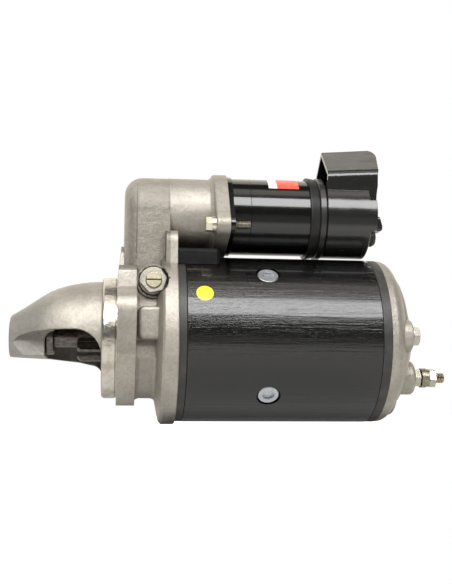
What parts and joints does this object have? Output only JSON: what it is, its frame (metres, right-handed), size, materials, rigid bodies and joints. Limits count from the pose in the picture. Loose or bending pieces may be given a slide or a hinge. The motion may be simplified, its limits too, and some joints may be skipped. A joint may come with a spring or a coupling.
{
  "type": "starter motor",
  "caption": "Pre-engaged electric starter motor: round steel motor body, aluminium drive nose with pinion window, mounting flange and a solenoid on top with its terminal cover.",
  "frame": {"origin": "shaft axis in the machined front face of the mounting flange", "axes": "+X along the shaft towards the commutator end, -X out of the drive nose, +Z towards the solenoid, -Y the side with the nose window"},
  "size_m": [0.3378, 0.1419, 0.2206],
  "materials": {
    "cast_aluminium": "as-cast, fine grain, machined faces",
    "bronze": "sintered",
    "bare_steel": "turned and oiled",
    "spring_steel": "drawn wire",
    "zinc_steel": "zinc plated, pale yellow",
    "yoke_paint": "gloss enamel",
    "solenoid_paint": "gloss enamel",
    "laminated_iron": "laminated",
    "copper": "enamelled copper",
    "terminal_brass": "bright",
    "insulation": "phenolic",
    "carbon": "copper carbon",
    "seal_rubber": "matt",
    "cap_plastic": "moulded",
    "cover_plastic": "moulded, glossy",
    "sticker_yellow": "printed vinyl",
    "label_paper": "printed paper"
  },
  "bodies": {
    "frame": {"battery_terminal_stud": "copper", "brush_plate": "insulation", "brush_springs": "spring_steel", "brushes": "carbon", "commutator_end_bracket": "cast_aluminium", "commutator_end_bush": "bronze", "commutator_end_seal": "seal_rubber", "contact_return_spring": "spring_steel", "drive_end_bracket": "cast_aluminium", "drive_end_seal": "seal_rubber", "field_coils": "copper", "field_terminal_insulator": "insulation", "field_terminal_nuts": "zinc_steel", "field_terminal_stud": "zinc_steel", "field_terminal_washers": "zinc_steel", "inspection_sticker": "sticker_yellow", "intermediate_bracket": "cast_aluminium", "intermediate_bush": "bronze", "lever_gap_grommet": "seal_rubber", "motor_terminal_boot": "seal_rubber", "motor_terminal_stud": "copper", "nose_bush": "bronze", "pivot_lock_nut": "zinc_steel", "pivot_pin": "zinc_steel", "plunger_return_spring": "spring_steel", "pole_screws": "zinc_steel", "pole_shoes": "laminated_iron", "solenoid_bolts": "zinc_steel", "solenoid_can": "solenoid_paint", "solenoid_clamp_ring": "solenoid_paint", "solenoid_coil": "copper", "solenoid_core": "laminated_iron", "solenoid_end_cap": "cap_plastic", "solenoid_flange": "solenoid_paint", "solenoid_label": "label_paper", "solenoid_terminal_nuts": "terminal_brass", "switch_blade": "terminal_brass", "terminal_cover": "cover_plastic", "through_bolts": "zinc_steel", "yoke": "yoke_paint"},
    "armature": {"armature_shaft": "bare_steel", "armature_core": "laminated_iron", "armature_windings": "copper", "commutator_segments": "copper", "commutator_hub": "insulation", "thrust_collar": "bare_steel", "collar_jump_ring": "bare_steel"},
    "drive": {"clutch_shell": "bare_steel", "clutch_rollers": "bare_steel", "clutch_cover": "bare_steel", "engagement_spring": "spring_steel", "bush_retaining_ring": "bare_steel"},
    "pinion": {"pinion": "bare_steel"},
    "operating_bush": {"operating_bush": "bare_steel"},
    "shift_lever": {"shift_lever": "bare_steel"},
    "plunger": {"plunger": "bare_steel"},
    "contact_bridge": {"contact_spindle": "terminal_brass", "contact_plate": "copper"}
  },
  "joints": [
    {"name": "armature_spin", "type": "hinge", "parent": "frame", "child": "armature", "pos_m": [0, 0, 0], "axis": [1, 0, 0], "continuous": true},
    {"name": "plunger_slide", "type": "slide", "parent": "frame", "child": "plunger", "axis": [1, 0, 0], "range_m": [0, 0.02231], "stiffness_N_per_m": 900, "springref_m": -0.012, "deforming": ["plunger_return_spring"]},
    {"name": "drive_slide", "type": "slide", "parent": "armature", "child": "drive", "axis": [-1, 0, 0], "range_m": [0, 0.015]},
    {"name": "pinion_overrun", "type": "hinge", "parent": "drive", "child": "pinion", "pos_m": [0, 0, 0], "axis": [1, 0, 0], "continuous": true},
    {"name": "bush_slide", "type": "slide", "parent": "frame", "child": "operating_bush", "axis": [-1, 0, 0], "range_m": [0, 0.015]},
    {"name": "lever_swing", "type": "hinge", "parent": "frame", "child": "shift_lever", "pos_m": [0.0261, 0, 0.039], "axis": [0, 1, 0], "range_deg": [0, 22.18]},
    {"name": "contact_slide", "type": "slide", "parent": "frame", "child": "contact_bridge", "axis": [1, 0, 0], "range_m": [0, 0.003], "deforming": ["contact_return_spring"]}
  ],
  "couplings": [
    {"joint": "drive_slide", "follows": "plunger_slide", "ratio": 0.67241},
    {"joint": "bush_slide", "follows": "plunger_slide", "ratio": 0.67241},
    {"joint": "lever_swing", "follows": "plunger_slide", "rad_per_m": 17.349},
    {"joint": "contact_slide", "follows": "plunger_slide", "ratio": 0.13448}
  ]
}
